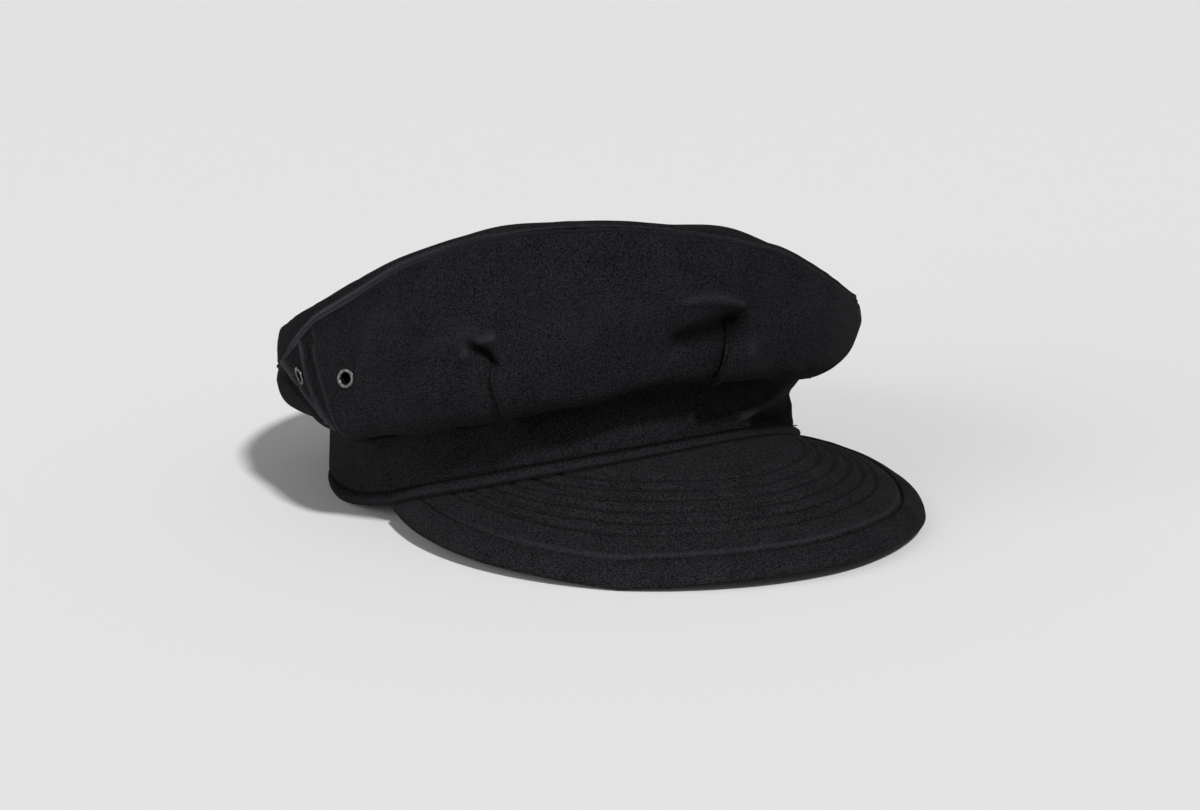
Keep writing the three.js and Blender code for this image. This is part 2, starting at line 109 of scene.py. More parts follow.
def brow_arch(angle, sharpness):
    """A height that arches up over the brow and comes down to the ground at the heel."""
    share = abs(turn_between(angle, 0.0)) / PEAK_END_ANGLE
    if share <= 1.0:
        return mix(PEAK_END_LIFT, BROW_LIFT, math.cos(share * math.pi / 2) ** sharpness)
    back = (share - 1.0) * PEAK_END_ANGLE / (180.0 - PEAK_END_ANGLE)
    return PEAK_END_LIFT * (1.0 - math.sin(min(1.0, back / HEEL_SPREAD) * math.pi / 2))


def band_foot(angle):
    """The height of the band's lower edge, which sags a little at the wearer's left."""
    if turn_between(angle, 0.0) > 0.0:
        return brow_arch(angle, BROW_SHARPNESS_LEFT)
    return brow_arch(angle, BROW_SHARPNESS)


def band_top(angle):
    """The height of the band's upper edge, which the crown rolls over."""
    return brow_arch(angle, BROW_SHARPNESS) + BAND_HEIGHT


def band_height(angle, up):
    """The height of a place on the band, whose welt is drawn down over the wearer's left brow."""
    drawn = WELT_DRAWN_DOWN * bell(turn_between(angle, WELT_DRAWN_ANGLE), WELT_DRAWN_SPREAD)
    drawn *= 1.0 - step_up(up, WELT_TOP_UP, DRAWN_TOP_UP)
    return mix(band_foot(angle), band_top(angle), up * (1.0 - drawn) / BAND_HEIGHT)


# Once round the strip's section, from the inside of its foot: millimetres out and up
BAND_SECTION = [
    {"out": -2.6, "up": 0.3},
    {"out": -1.2, "up": 0.0},
    {"out": 0.3, "up": 0.1},
    {"out": 1.0, "up": 0.8},
    {"out": 1.35, "up": 2.1},
    {"out": 1.1, "up": 3.4},
    {"out": 0.2, "up": 4.4},
    {"out": -0.5, "up": 4.9},
    {"out": -0.1, "up": 5.5},
    {"out": 0.45, "up": 7.2},
    {"out": 0.1, "up": 14.0},
    {"out": 0.1, "up": 21.0},
    {"out": 0.1, "up": 26.5},
    {"out": -0.8, "up": 28.0},
    {"out": -2.2, "up": 28.0},
    {"out": -2.8, "up": 26.5},
    {"out": -2.8, "up": 14.0},
    {"out": -2.8, "up": 2.0},
]
# Where the cloth band has creased under the crown's weight, as lines from one place to another:
# degrees round the head and millimetres above the band's foot. Bend is how far the line bows, in
# millimetres, width and end width its half width at each end, rise how far it stands out, and the
# last column how light or dark its colour is painted there: a painted highlight on a ridge, painted
# shade in a hollow, and painted shadow where the crown's lip shades the band
FOLD_LINE = (
    "from_angle", "from_up", "to_angle", "to_up", "bend", "width", "end_width", "rise", "shading_paint"
)
# The third and fifth rows only paint the crown's shadow onto the band, and the sixth and seventh paint
# shade in the gap under its lip; the first paints a highlight on its ridge and the second shade in its
# hollow
BAND_FOLDS = [dict(zip(FOLD_LINE, row)) for row in (
    (42.0, 21.5, 8.0, 10.8, 0.0, 2.8, 1.6, 3.4, 0.34),
    (44.0, 10.0, 14.0, 6.8, 0.0, 5.0, 4.4, -3.2, -0.85),
    (20.0, 21.0, -46.0, 23.0, 0.0, 5.0, 4.0, 0.0, -0.40),
    (50.0, 12.0, 57.0, 3.0, 0.0, 2.8, 2.8, 1.6, 0.0),
    (-46.0, 17.0, -74.0, 15.0, 0.0, 8.0, 6.0, 0.0, -0.22),
    (-62.0, 25.0, -48.5, 26.4, 0.8, 1.7, 1.3, 0.0, -0.8),
    (-91.0, 27.2, -66.0, 26.6, 0.3, 1.2, 0.8, 0.0, -0.8),
    (-94.0, 4.0, -90.0, 27.0, 0.0, 4.2, 4.2, 0.7, 0.0),
    (-104.0, 6.0, -97.0, 26.0, 0.0, 5.0, 5.0, -0.9, 0.0),
    (120.0, 6.0, 112.0, 24.0, 0.0, 4.5, 4.5, -1.3, 0.0),
    (172.0, 6.0, 178.0, 24.0, 0.0, 5.0, 5.0, -1.2, 0.0),
    (-150.0, 8.0, -144.0, 24.0, 0.0, 4.5, 4.5, -1.2, 0.0),
)]
FOLD_RUN_ON = 0.6
BAND_TURN_MM = 1.63
# The band is drawn in at a waist on the wearer's left
WAIST_ANGLE = 54.0
WAIST_DEPTH = 3.8
WAIST_SPREAD = 22.0
# Heights between which the cloth is free to crease: it is held by the welt and by the crown's seam
FREE_ABOVE_WELT = (1.0, 8.0)
HELD_AT_TOP = (25.5, BAND_HEIGHT)
WELT_OUTSIDE = -0.6
# A painted highlight along the welt's crest, and painted shade along the groove of its seam
WELT_CREST_UP = 2.0
WELT_CREST_HIGHLIGHT = 0.10
WELT_SEAM_UP = 4.9
WELT_SEAM_SHADE = -0.80
BAND_STEPS_ROUND = 360
ROWS_PER_POINT = 5
CLOTH_CLOSE_TO = 0.00002


def fold_marks(folds, angle, up, across_mm):
    """How far the folds in a table stand out from the cloth at one place, and how light or dark they
    paint its colour.
    """
    relief = 0.0
    shading_paint = 0.0
    for fold in folds:
        x = turn_between(angle, fold["from_angle"]) * across_mm
        run_x = turn_between(fold["to_angle"], fold["from_angle"]) * across_mm
        y = up - fold["from_up"]
        run_y = fold["to_up"] - fold["from_up"]
        length = math.hypot(run_x, run_y)
        along = (x * run_x + y * run_y) / (length * length)
        if -FOLD_RUN_ON < along < 1.0 + FOLD_RUN_ON:
            near = min(1.0, max(0.0, along))
            beside = (x * run_y - y * run_x) / length
            bow = fold["bend"] * 4.0 * near * (1.0 - near)
            off = math.hypot(beside - bow, (along - near) * length)
            width = mix(fold["width"], fold["end_width"], near)
            strength = width / fold["width"]
            relief += fold["rise"] * strength * bell(off, width)
            shading_paint += fold["shading_paint"] * strength * bell(off, 0.8 * width)
    return relief, shading_paint


def slack(point, size, amount, seed):
    """The soft unevenness of slack cloth, in waves of a size in millimetres, the same each time."""
    place = point / (size * MM) + Vector((seed, 2.0 * seed, 0.5 * seed))
    return amount * noise.noise(place)


def table_place(rows, place, closed):
    """The values of a table of rows at a place between them."""
    count = len(rows)
    first = math.floor(place)
    picks = [first - 1, first, first + 1, first + 2]
    if closed:
        near = [rows[k % count] for k in picks]
    else:
        near = [rows[min(count - 1, max(0, k))] for k in picks]
    t = place - first
    return {name: through_four(*[row[name] for row in near], t) for name in rows[0]}


def shaped_grid(columns, rows, place):
    """A bmesh grid whose points go where place(column share, row share) says, with their painted light
    and shade.
    """
    mesh = bmesh.new()
    bmesh.ops.create_grid(mesh, x_segments=columns, y_segments=rows, size=0.5)
    painted_shading = mesh.verts.layers.float.new("painted_shading")
    for vert in mesh.verts:
        vert.co, vert[painted_shading] = place(vert.co.x + 0.5, vert.co.y + 0.5)
    return mesh


def band_place(round_share, section_share):
    """Where the band's cloth lies, at a share of the way round the head and round its section."""
    angle = -180.0 + 360.0 * round_share
    row = table_place(BAND_SECTION, section_share * len(BAND_SECTION), True)
    z = band_height(angle, row["up"])
    relief, shading_paint = fold_marks(BAND_FOLDS, angle, row["up"], BAND_TURN_MM)
    relief += slack(head_point(angle, 0.0, z), size=24.0, amount=0.9, seed=3.0)
    free = step_up(row["up"], *FREE_ABOVE_WELT) * (1.0 - step_up(row["up"], *HELD_AT_TOP))
    waist = WAIST_DEPTH * bell(turn_between(angle, WAIST_ANGLE), WAIST_SPREAD)
    relief -= waist * math.sin(math.pi * row["up"] / BAND_HEIGHT)
    # Painted highlight on the welt's crest and painted shade in the groove of its seam
    if row["out"] > WELT_OUTSIDE:
        shading_paint += WELT_CREST_HIGHLIGHT * bell(row["up"] - WELT_CREST_UP, 1.0)
        shading_paint += WELT_SEAM_SHADE * bell(row["up"] - WELT_SEAM_UP, 0.45)
    return head_point(angle, row["out"] + relief * free, z), shading_paint


def finished(name, mesh, material, node=None, close_to=CLOTH_CLOSE_TO):
    """Welds the mesh, turns its faces outwards and makes it a piece that rides on the cap."""
    bmesh.ops.remove_doubles(mesh, verts=mesh.verts, dist=close_to)
    bmesh.ops.recalc_face_normals(mesh, faces=mesh.faces)
    for face in mesh.faces:
        face.smooth = True
    data = bpy.data.meshes.new(name)
    mesh.to_mesh(data)
    mesh.free()
    data.materials.append(material)
    piece = bpy.data.objects.new(name, data)
    bpy.context.scene.collection.objects.link(piece)
    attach(piece, "root")
    if node:
        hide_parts(node)
    return piece


def napped_cloth(name, dark, light, nap_size):
    """Short-napped black cotton, a speckle of raised fibres over slow brushed patches.

    Where the mesh's painted light-and-shade value is over 0, the colour is lightened as a painted
    highlight. Where it is under 0, it is darkened as painted shade, as in a seam, a crease or under
    the lip.
    """
    cloth = bpy.data.materials.new(name)
    cloth.use_nodes = True
    nodes = cloth.node_tree.nodes
    links = cloth.node_tree.links
    shader = nodes["Principled BSDF"]
    shader.inputs["Roughness"].default_value = 0.95
    shader.inputs["Specular IOR Level"].default_value = 0.03
    shader.inputs["Sheen Weight"].default_value = 0.012
    shader.inputs["Sheen Roughness"].default_value = 0.25
    shader.inputs["Sheen Tint"].default_value = (0.85, 0.83, 0.95, 1.0)
    where = nodes.new("ShaderNodeTexCoord")
    nap = nodes.new("ShaderNodeTexNoise")
    nap.inputs["Scale"].default_value = 1.0 / (nap_size * MM)
    nap.inputs["Detail"].default_value = 4.0
    nap.inputs["Roughness"].default_value = 0.75
    links.new(where.outputs["Object"], nap.inputs["Vector"])
    patches = nodes.new("ShaderNodeTexNoise")
    patches.inputs["Scale"].default_value = 60.0
    patches.inputs["Detail"].default_value = 4.0
    links.new(where.outputs["Object"], patches.inputs["Vector"])
    both = nodes.new("ShaderNodeMath")
    both.operation = "MULTIPLY_ADD"
    both.inputs[1].default_value = 0.11
    links.new(patches.outputs["Fac"], both.inputs[0])
    links.new(nap.outputs["Fac"], both.inputs[2])
    shade = nodes.new("ShaderNodeValToRGB")
    shade.color_ramp.elements[0].position = 0.435
    shade.color_ramp.elements[0].color = (*dark, 1.0)
    shade.color_ramp.elements[1].position = 0.695
    shade.color_ramp.elements[1].color = (*light, 1.0)
    links.new(both.outputs["Value"], shade.inputs["Fac"])
    # Painted highlight and painted shade: the colour is lightened towards pale grey where the mesh's
    # painted light-and-shade value is over 0, and darkened to near black where it is under 0
    painted_shading = nodes.new("ShaderNodeAttribute")
    painted_shading.attribute_name = "painted_shading"
    lighten = nodes.new("ShaderNodeMix")
    lighten.data_type = "RGBA"
    links.new(painted_shading.outputs["Fac"], lighten.inputs["Factor"])
    links.new(shade.outputs["Color"], lighten.inputs["A"])
    lighten.inputs["B"].default_value = (0.075, 0.073, 0.085, 1.0)
    painted_dark = nodes.new("ShaderNodeMath")
    painted_dark.operation = "MULTIPLY"
    painted_dark.use_clamp = True
    painted_dark.inputs[1].default_value = -1.0
    links.new(painted_shading.outputs["Fac"], painted_dark.inputs[0])
    darken = nodes.new("ShaderNodeMix")
    darken.data_type = "RGBA"
    links.new(painted_dark.outputs["Value"], darken.inputs["Factor"])
    links.new(lighten.outputs["Result"], darken.inputs["A"])
    darken.inputs["B"].default_value = (0.0012, 0.0012, 0.0014, 1.0)
    links.new(darken.outputs["Result"], shader.inputs["Base Color"])
    bump = nodes.new("ShaderNodeBump")
    bump.inputs["Strength"].default_value = 0.8
    bump.inputs["Distance"].default_value = 0.0006
    links.new(nap.outputs["Fac"], bump.inputs["Height"])
    links.new(bump.outputs["Normal"], shader.inputs["Normal"])
    return cloth


band_cloth = napped_cloth("black_band_cloth", (0.0020, 0.0019, 0.0023), (0.0240, 0.0235, 0.0265), 0.62)
band_mesh = shaped_grid(BAND_STEPS_ROUND, ROWS_PER_POINT * len(BAND_SECTION), band_place)
finished("head_band", band_mesh, band_cloth, "band")

# Stitching of the band's foot
# One row of black thread just above the turned welt, pulled down into the cloth by the machine,
# about ten stitches to the inch.
STITCH_LENGTH = 2.5
STITCH_GAP = 0.55
SHORTEST_STITCH = 0.5
THREAD_RADIUS = 0.22
STITCHES_CLOSE_TO = 0.000001
BAND_SEAM_UP = 5.0
BAND_SEAM_OUT = -0.25

one_stitch = bpy.data.meshes.new("one_stitch")
stitch_mesh = bmesh.new()
bmesh.ops.create_uvsphere(stitch_mesh, u_segments=6, v_segments=5, radius=1.0)
stitch_mesh.to_mesh(one_stitch)
stitch_mesh.free()


def stitch_row(mesh, points, normals):
    """Adds a short rounded length of thread between each pair of points along a row."""
    for start, end, normal in zip(points[:-1], points[1:], normals):
        along = end - start
        length = along.length - STITCH_GAP * MM
        if length < SHORTEST_STITCH * MM:
            continue
        side = normal.cross(along).normalized()
        stand = along.normalized().cross(side)
        turn = Matrix((side, stand, along.normalized())).transposed().to_4x4()
        middle = Matrix.Translation((start + end) / 2)
        size = Matrix.Diagonal((THREAD_RADIUS * MM, THREAD_RADIUS * MM, length / 2, 1.0))
        laid = one_stitch.copy()
        laid.transform(middle @ turn @ size)
        mesh.from_mesh(laid)
        bpy.data.meshes.remove(laid)


def steps_along(path, length):
    """Points a given length apart along a run of close points."""
    kept = [path[0]]
    travelled = 0.0
    for before, after in zip(path[:-1], path[1:]):
        travelled += (after - before).length
        if travelled >= length:
            kept.append(after)
            travelled = 0.0
    return kept


thread = bpy.data.materials.new("black_thread")
thread.use_nodes = True
thread_shader = thread.node_tree.nodes["Principled BSDF"]
thread_shader.inputs["Roughness"].default_value = 0.8
thread_shader.inputs["Specular IOR Level"].default_value = 0.05
thread_where = thread.node_tree.nodes.new("ShaderNodeTexCoord")
thread_twist = thread.node_tree.nodes.new("ShaderNodeTexWave")
thread_twist.inputs["Scale"].default_value = 900.0
thread_twist.inputs["Distortion"].default_value = 1.5
thread_shade = thread.node_tree.nodes.new("ShaderNodeValToRGB")
thread_shade.color_ramp.elements[0].color = (0.003, 0.003, 0.004, 1.0)
thread_shade.color_ramp.elements[1].color = (0.012, 0.012, 0.014, 1.0)
thread.node_tree.links.new(thread_where.outputs["Object"], thread_twist.inputs["Vector"])
thread.node_tree.links.new(thread_twist.outputs["Fac"], thread_shade.inputs["Fac"])
thread.node_tree.links.new(thread_shade.outputs["Color"], thread_shader.inputs["Base Color"])

band_stitches = bmesh.new()
path = []
for tenth in range(-1800, 1801):
    angle = tenth / 10.0
    path.append(head_point(angle, BAND_SEAM_OUT, band_height(angle, BAND_SEAM_UP)))
path = steps_along(path, STITCH_LENGTH * MM)
outward = [Vector((p.x - band_middle.x, p.y - band_middle.y, 0.0)).normalized() for p in path]
stitch_row(band_stitches, path, outward)
finished("band_stitches", band_stitches, thread, None, STITCHES_CLOSE_TO)

# Peak
# A stiff crescent covered with the same cloth above and below, quilted by six rows of stitching
# that follow its front edge, and bound along that edge by a wide turned border.
PEAK_REACH = 70.8
PEAK_ROUNDING = 1.67
PEAK_TAPER = 1.18
PEAK_THICKNESS = 3.2
PEAK_END_THICKNESS = 1.6
PEAK_CAMBER = 2.8
PEAK_END = 0.975
END_ROUNDING = 0.01
# The front edge stands off the ground in its middle, comes down to it on both sides, and rises
# again towards the ends
EDGE_CENTRE_LIFT = 3.9
EDGE_CENTRE_SPREAD = 0.3656
EDGE_SIDE_CURVE = 0.8
EDGE_STEPS = 1200
# The root lies against the welt, and a flange of it is sewn in under the band
WELT_RAISE = 0.7
ROOT_LIFT = 0.35
ROOT_RISE = 0.6
ROOT_RISE_ANGLE = 12.0
ROOT_RISE_SPREAD = 40.0
# Painted shade along the crease where the root meets the welt
ROOT_CREASE_OUT = 1.5
ROOT_CREASE_SHADE = -0.80
PEAK_FLANGE = 3.3
FLANGE_SHARE = 0.03
# The bound border and the rows of stitching, at distances in from the front edge
BORDER_WIDTH = 9.3
BORDER_SEAM_DEPTH = 1.5
BORDER_SEAM_WIDTH = 0.85
BORDER_SWELL = 0.9
BORDER_SWELL_AT = 5.0
BORDER_SWELL_WIDTH = 3.6
QUILT_ROWS = [19.6, 24.8, 30.1, 35.8, 41.3, 47.0]
QUILT_DEPTH = 0.9
QUILT_WIDTH = 0.8
QUILTED_FROM_ROOT = (0.5, 4.0)
QUILTED_FROM_END = (0.5, 8.0)
UNDERSIDE_QUILTING = 0.5
# Painted shade along the border's seam and the rows of stitching, where they pull into the cloth, and a
# painted highlight just inside the border's seam
MARK_COLUMNS = ("inset", "width", "shading_paint")
PEAK_MARKS = [dict(zip(MARK_COLUMNS, row)) for row in (
    (BORDER_WIDTH, 0.55, -0.80),
    (BORDER_WIDTH + 1.6, 0.70, 0.15),
    *((inset, 0.42, -0.60) for inset in QUILT_ROWS),
)]
THREAD_SUNK = 0.04
INSET_SLIP = 0.05
STITCHED_FROM = 1.02
PEAK_STEPS_ACROSS = 400
UPPER_ROWS = 160
LOWER_ROWS = 56
OUTWARD_CROWDING = 1.6


def peak_line(share):
    """The peak's measures at a share of the way from its middle to its end."""
    angle = share * PEAK_END_ANGLE
    far = abs(share)
    reach = PEAK_REACH * max(0.0, 1.0 - far ** PEAK_ROUNDING) ** PEAK_TAPER
    middle = EDGE_CENTRE_LIFT * max(0.0, 1.0 - (far / EDGE_CENTRE_SPREAD) ** 2)
    side = max(0.0, (far - EDGE_CENTRE_SPREAD) / (1.0 - EDGE_CENTRE_SPREAD)) ** EDGE_SIDE_CURVE
    thickness = mix(PEAK_THICKNESS, PEAK_END_THICKNESS, far ** 3)
    edge = middle + (PEAK_END_LIFT - PEAK_END_THICKNESS) * side
    return {"angle": angle, "reach": reach, "edge": edge, "thickness": thickness}


edge_points = [peak_line(2.0 * k / EDGE_STEPS - 1.0) for k in range(EDGE_STEPS + 1)]
edge_tree = KDTree(len(edge_points))
for number, line in enumerate(edge_points):
    edge_tree.insert(head_point(line["angle"], WELT_RAISE + line["reach"], 0.0), number)
edge_tree.balance()


def quilting(point):
    """How far the cloth stands up at one place, between rows of stitching that pull it down."""
    flat = Vector((point.x, point.y, 0.0))
    inset = edge_tree.find(flat)[2] / MM
    pull = sum(QUILT_DEPTH * bell(inset - row, QUILT_WIDTH) for row in QUILT_ROWS)
    pull += BORDER_SEAM_DEPTH * bell(inset - BORDER_WIDTH, BORDER_SEAM_WIDTH)
    border = BORDER_SWELL * bell(inset - BORDER_SWELL_AT, BORDER_SWELL_WIDTH)
    fine = slack(point, size=9.0, amount=0.22, seed=7.0)
    broad = slack(point, size=30.0, amount=0.5, seed=9.0)
    return border + (fine + broad) - pull


def rounded(share):
    """The height of a quarter round, from 0 at a share of 0 to 1 at a share of 1 and past it."""
    return math.sqrt(max(0.0, 1.0 - max(0.0, 1.0 - share) ** 2))


def peak_place(across_share, section_share):
    """Across runs from end to end; the section goes out over the top and back below."""
    line = peak_line(mix(-PEAK_END, PEAK_END, across_share))
    root = band_foot(line["angle"]) + ROOT_LIFT
    root += ROOT_RISE * bell(line["angle"] - ROOT_RISE_ANGLE, ROOT_RISE_SPREAD)
    row = section_share * (UPPER_ROWS + LOWER_ROWS)
    upper = row <= UPPER_ROWS
    way = row / UPPER_ROWS if upper else (UPPER_ROWS + LOWER_ROWS - row) / LOWER_ROWS
    flange = min(1.0, way / FLANGE_SHARE)
    past_flange = max(0.0, way - FLANGE_SHARE) / (1.0 - FLANGE_SHARE)
    reached = 1.0 - (1.0 - past_flange) ** OUTWARD_CROWDING
    out = mix(WELT_RAISE - PEAK_FLANGE, WELT_RAISE, flange) + line["reach"] * reached
    inset = line["reach"] * (1.0 - reached)
    edge_radius = max(0.05, min(line["thickness"] / 2, line["reach"] * 0.3))
    edge_round = rounded(inset / edge_radius)
    end_round = rounded((0.5 - abs(across_share - 0.5)) / END_ROUNDING)
    half = line["thickness"] / 2 * min(edge_round, rounded(flange), end_round)
    middle = mix(root, line["edge"] + line["thickness"], reached) - line["thickness"] / 2
    middle += PEAK_CAMBER * line["reach"] / PEAK_REACH * math.sin(math.pi * reached)
    point = head_point(line["angle"], out, middle + half if upper else middle - half)
    free = step_up(reached * line["reach"], *QUILTED_FROM_ROOT) * edge_round
    free *= step_up(line["reach"], *QUILTED_FROM_END)
    if upper:
        point.z += quilting(point) * free * MM
    else:
        point.z -= UNDERSIDE_QUILTING * quilting(point) * free * MM
    # Painted shade at the root's crease, along the border's seam and the stitched rows, and a painted
    # highlight just inside the border's seam
    shading_paint = ROOT_CREASE_SHADE * bell(out - ROOT_CREASE_OUT, 0.7)
    shading_paint += sum(mark["shading_paint"] * bell(inset - mark["inset"], mark["width"]) for mark in PEAK_MARKS)
    return point, shading_paint


peak_cloth = napped_cloth("black_peak_cloth", (0.0021, 0.0020, 0.0024), (0.0275, 0.0270, 0.0300), 0.68)
peak_mesh = shaped_grid(PEAK_STEPS_ACROSS, UPPER_ROWS + LOWER_ROWS, peak_place)
bmesh.ops.remove_doubles(peak_mesh, verts=peak_mesh.verts, dist=CLOTH_CLOSE_TO)
peak_tree = BVHTree.FromBMesh(peak_mesh)
finished("peak_cover", peak_mesh, peak_cloth, "peak")

peak_stitches = bmesh.new()
for inset in [BORDER_WIDTH] + QUILT_ROWS:
    for upright in (1.0, -1.0):
        path = []
        for number in range(1, len(edge_points) - 1):
            line = edge_points[number]
            after = edge_points[number + 1]
            here = head_point(line["angle"], WELT_RAISE + line["reach"], 0.0)
            ahead = head_point(after["angle"], WELT_RAISE + after["reach"], 0.0)
            plan = here + Vector((0.0, 0.0, 1.0)).cross(ahead - here).normalized() * inset * MM
            from_middle = plan - band_middle
            round_band = math.hypot(from_middle.x / BAND_HALF_WIDTH, from_middle.y / BAND_HALF_LENGTH)
            too_near_edge = edge_tree.find(plan)[2] < (inset - INSET_SLIP) * MM
            if too_near_edge or round_band < STITCHED_FROM * MM:
                continue
            look = Vector((0.0, 0.0, upright))
            hit = peak_tree.ray_cast(plan + look, -look)
            if hit[0] is not None:
                path.append(hit[0] - look * THREAD_SUNK * MM)
        if len(path) > 2:
            path = steps_along(path, STITCH_LENGTH * MM)
            stitch_row(peak_stitches, path, [Vector((0.0, 0.0, 1.0))] * len(path))
finished("peak_stitches", peak_stitches, thread, None, STITCHES_CLOSE_TO)

# Crown side
# A wide strip of cloth sewn to the round top above and gathered down onto the band by pleats. It
# stands up high at the wearer's front right, slumps at the back, and rolls in over the band.
BAND_LIP = 0.35
# Once round the crown, a row for each direction. Out is from the band's face: the seam is between
# side and top, shoulder is how far the top panel stands above that seam, belly is the widest
# place, and the lip is the lowest place of the overhang, with its drop below the band's top. Under
# is how far up from lip to belly the cloth turns in
CROWN_COLUMNS = (
    "angle", "seam_out", "seam_z", "shoulder", "belly_out", "belly_z", "under", "lip_out", "lip_drop"
)
CROWN_ROWS = [dict(zip(CROWN_COLUMNS, row)) for row in (
    (-180, 20.0, 46.0, 12.0, 22.0, 40.0, 0.45, 6.0, 2.5),
    (-150, 20.0, 46.0, 14.0, 21.5, 40.0, 0.45, 6.0, 2.5),
    (-130, 20.0, 47.0, 17.0, 21.2, 41.0, 0.46, 6.0, -1.6),
    (-115, 19.3, 53.0, 17.5, 20.8, 43.6, 0.42, 7.0, -3.6),
    (-104, 18.3, 67.0, 11.0, 19.6, 48.6, 0.46, 7.0, -4.4),
    (-95, 17.8, 79.0, 5.5, 20.0, 53.0, 0.34, 8.0, -2.4),
    (-82, 18.0, 92.0, 4.5, 20.5, 58.0, 0.26, 9.0, -0.8),
    (-68, 18.4, 107.6, 1.4, 21.5, 65.0, 0.26, 10.0, -0.2),
    (-52, 18.9, 119.2, 0.7, 22.0, 72.0, 0.26, 11.0, 1.3),
    (-32, 19.4, 123.8, 0.5, 22.0, 77.0, 0.26, 11.0, 2.2),
    (-12, 19.4, 119.3, 0.5, 22.0, 79.0, 0.26, 11.0, -1.8),
    (7, 19.4, 108.8, 0.5, 21.5, 76.0, 0.28, 11.0, 1.6),
    (23, 19.9, 94.0, 0.5, 21.5, 71.0, 0.32, 10.0, 6.5),
    (36, 21.0, 82.2, 0.5, 22.3, 68.0, 0.36, 8.0, 8.0),
    (50, 22.0, 73.6, 0.6, 23.0, 64.0, 0.52, 5.0, 8.0),
    (75, 21.0, 63.0, 4.0, 22.5, 53.0, 0.50, 6.0, 6.0),
    (105, 20.0, 53.0, 9.0, 22.5, 45.0, 0.42, 7.0, 4.0),
    (140, 20.0, 47.0, 11.0, 22.0, 41.0, 0.45, 6.0, 3.0),
)]
# The pleats, each where the cloth of one side lies over the other's. Drift is how far the fold
# leans by the time it is at the lip, start where it opens as a share of the way down, fold how
# far the cloth is turned under, swell how the upper cloth puffs up beside the fold, and side is 1
# where the wearer's left side lies on top
PLEAT_COLUMNS = ("angle", "drift", "start", "fold", "swell", "swell_spread", "side")
PLEATS = [dict(zip(PLEAT_COLUMNS, row)) for row in (
    (-2.9, -4.0, 0.275, 1.00, 1.6, 4.0, 1),
    (-59.4, 11.5, 0.310, 1.15, 1.2, 4.0, 1),
    (-99.8, 16.0, 0.090, 0.85, 3.0, 8.0, 1),
    (-138.0, 2.0, 0.300, 0.80, 0.5, 4.0, 1),
    (62.0, -2.0, 0.300, 0.50, 0.5, 4.0, 1),
    (95.0, -2.0, 0.100, 0.80, 0.8, 4.0, -1),
    (138.0, -2.0, 0.300, 0.80, 0.5, 4.0, -1),
)]
# Across one pleat's fold: at is where along the cloth, turn where that lies, in degrees, and sink
# how deep, in millimetres
FOLD_COLUMNS = ("at", "turn", "sink")
FOLD_SECTION = [dict(zip(FOLD_COLUMNS, row)) for row in (
    (-8.0, -8.0, 0.0),
    (-5.0, -4.9, 0.2),
    (-3.0, -2.5, 0.4),
    (-2.0, -1.0, 1.2),
    (-1.2, 0.5, 2.4),
    (-0.4, 1.2, 2.6),
    (0.2, 0.8, 1.5),
    (0.8, 0.0, 0.5),
    (1.3, -0.6, -0.2),
    (1.9, -0.5, -1.0),
    (2.8, 0.7, -1.3),
    (4.5, 3.6, -0.8),
    (8.0, 8.0, 0.0),
)]
# The hollows and crests at the heads of the pleats, and the ridges and creases between them, with
# heights from the surface that the cap stands on. Most also paint the colour: painted shade in the
# hollows and creases, a painted highlight on the crests and ridges
CROWN_FOLDS = [dict(zip(FOLD_LINE, row)) for row in (
    (-3.9, 84.8, -16.0, 80.8, 0.0, 6.2, 4.2, -5.8, -0.95),
    (-4.2, 91.6, -15.0, 95.6, 2.0, 2.6, 2.0, 2.4, 0.18),
    (-3.0, 91.0, -1.8, 74.0, -2.4, 2.7, 2.2, 1.8, 0.15),
    (-53.4, 79.4, -49.8, 73.0, -0.5, 2.2, 1.8, -4.6, -0.75),
    (-50.0, 83.4, -55.4, 76.0, 1.2, 2.0, 1.6, 2.4, 0.26),
    (-101.8, 68.0, -87.6, 40.0, 2.0, 1.5, 1.1, 1.1, 0.60),
    (-98.0, 66.0, -87.4, 41.0, -4.4, 1.9, 0.9, -2.0, -0.90),
    (-111.0, 55.0, -87.4, 40.0, -2.1, 1.6, 1.1, 1.8, 0.65),
    (-109.0, 51.0, -89.0, 37.6, -1.5, 2.0, 1.5, -3.0, -0.45),
    (-64.0, 76.0, -54.0, 84.0, 0.0, 4.0, 4.0, 1.2, 0.05),
    (-30.0, 90.0, -14.0, 93.0, 0.0, 7.0, 7.0, 1.0, 0.0),
    (-77.0, 70.0, -75.0, 86.0, 0.0, 4.0, 4.0, 0.7, 0.04),
    (-138.0, 41.0, -143.0, 38.5, 0.0, 3.0, 2.0, -2.0, -0.3),
    (62.0, 59.0, 57.0, 57.0, 0.0, 3.0, 2.0, -2.0, -0.3),
    (138.0, 40.5, 143.0, 38.0, 0.0, 3.0, 2.0, -2.0, -0.3),
    (150.0, 44.0, 170.0, 38.0, 0.0, 5.0, 5.0, -1.8, 0.0),
    (118.0, 46.0, 104.0, 36.0, 0.0, 4.0, 4.0, -1.8, 0.0),
    (66.0, 56.0, 72.0, 42.0, 0.0, 5.0, 5.0, -1.4, 0.0),
)]
CROWN_TURN_MM = 1.95
CROWN_CLOTH = 2.0
# The outline between its measured places: the seam's edge, the upper side, the turn under the
# belly, and the tuck behind the lip
SEAM_SUNK = 0.15
UPPER_SIDE_OUT = 0.7
UPPER_SIDE_BULGE = 0.4
UNDERCUT_OUT = 0.74
TUCK_OUT = 0.36
TUCK_LEAST_OUT = 2.2
TUCK_UP = 0.45
# How wide the pleats, their lean and the swelling beside them are, in degrees
PLEAT_REACH = 8.0
LEAN_SPREAD = 18.0
SWELL_REACH = 30.0
SWELL_ACROSS = 2.6
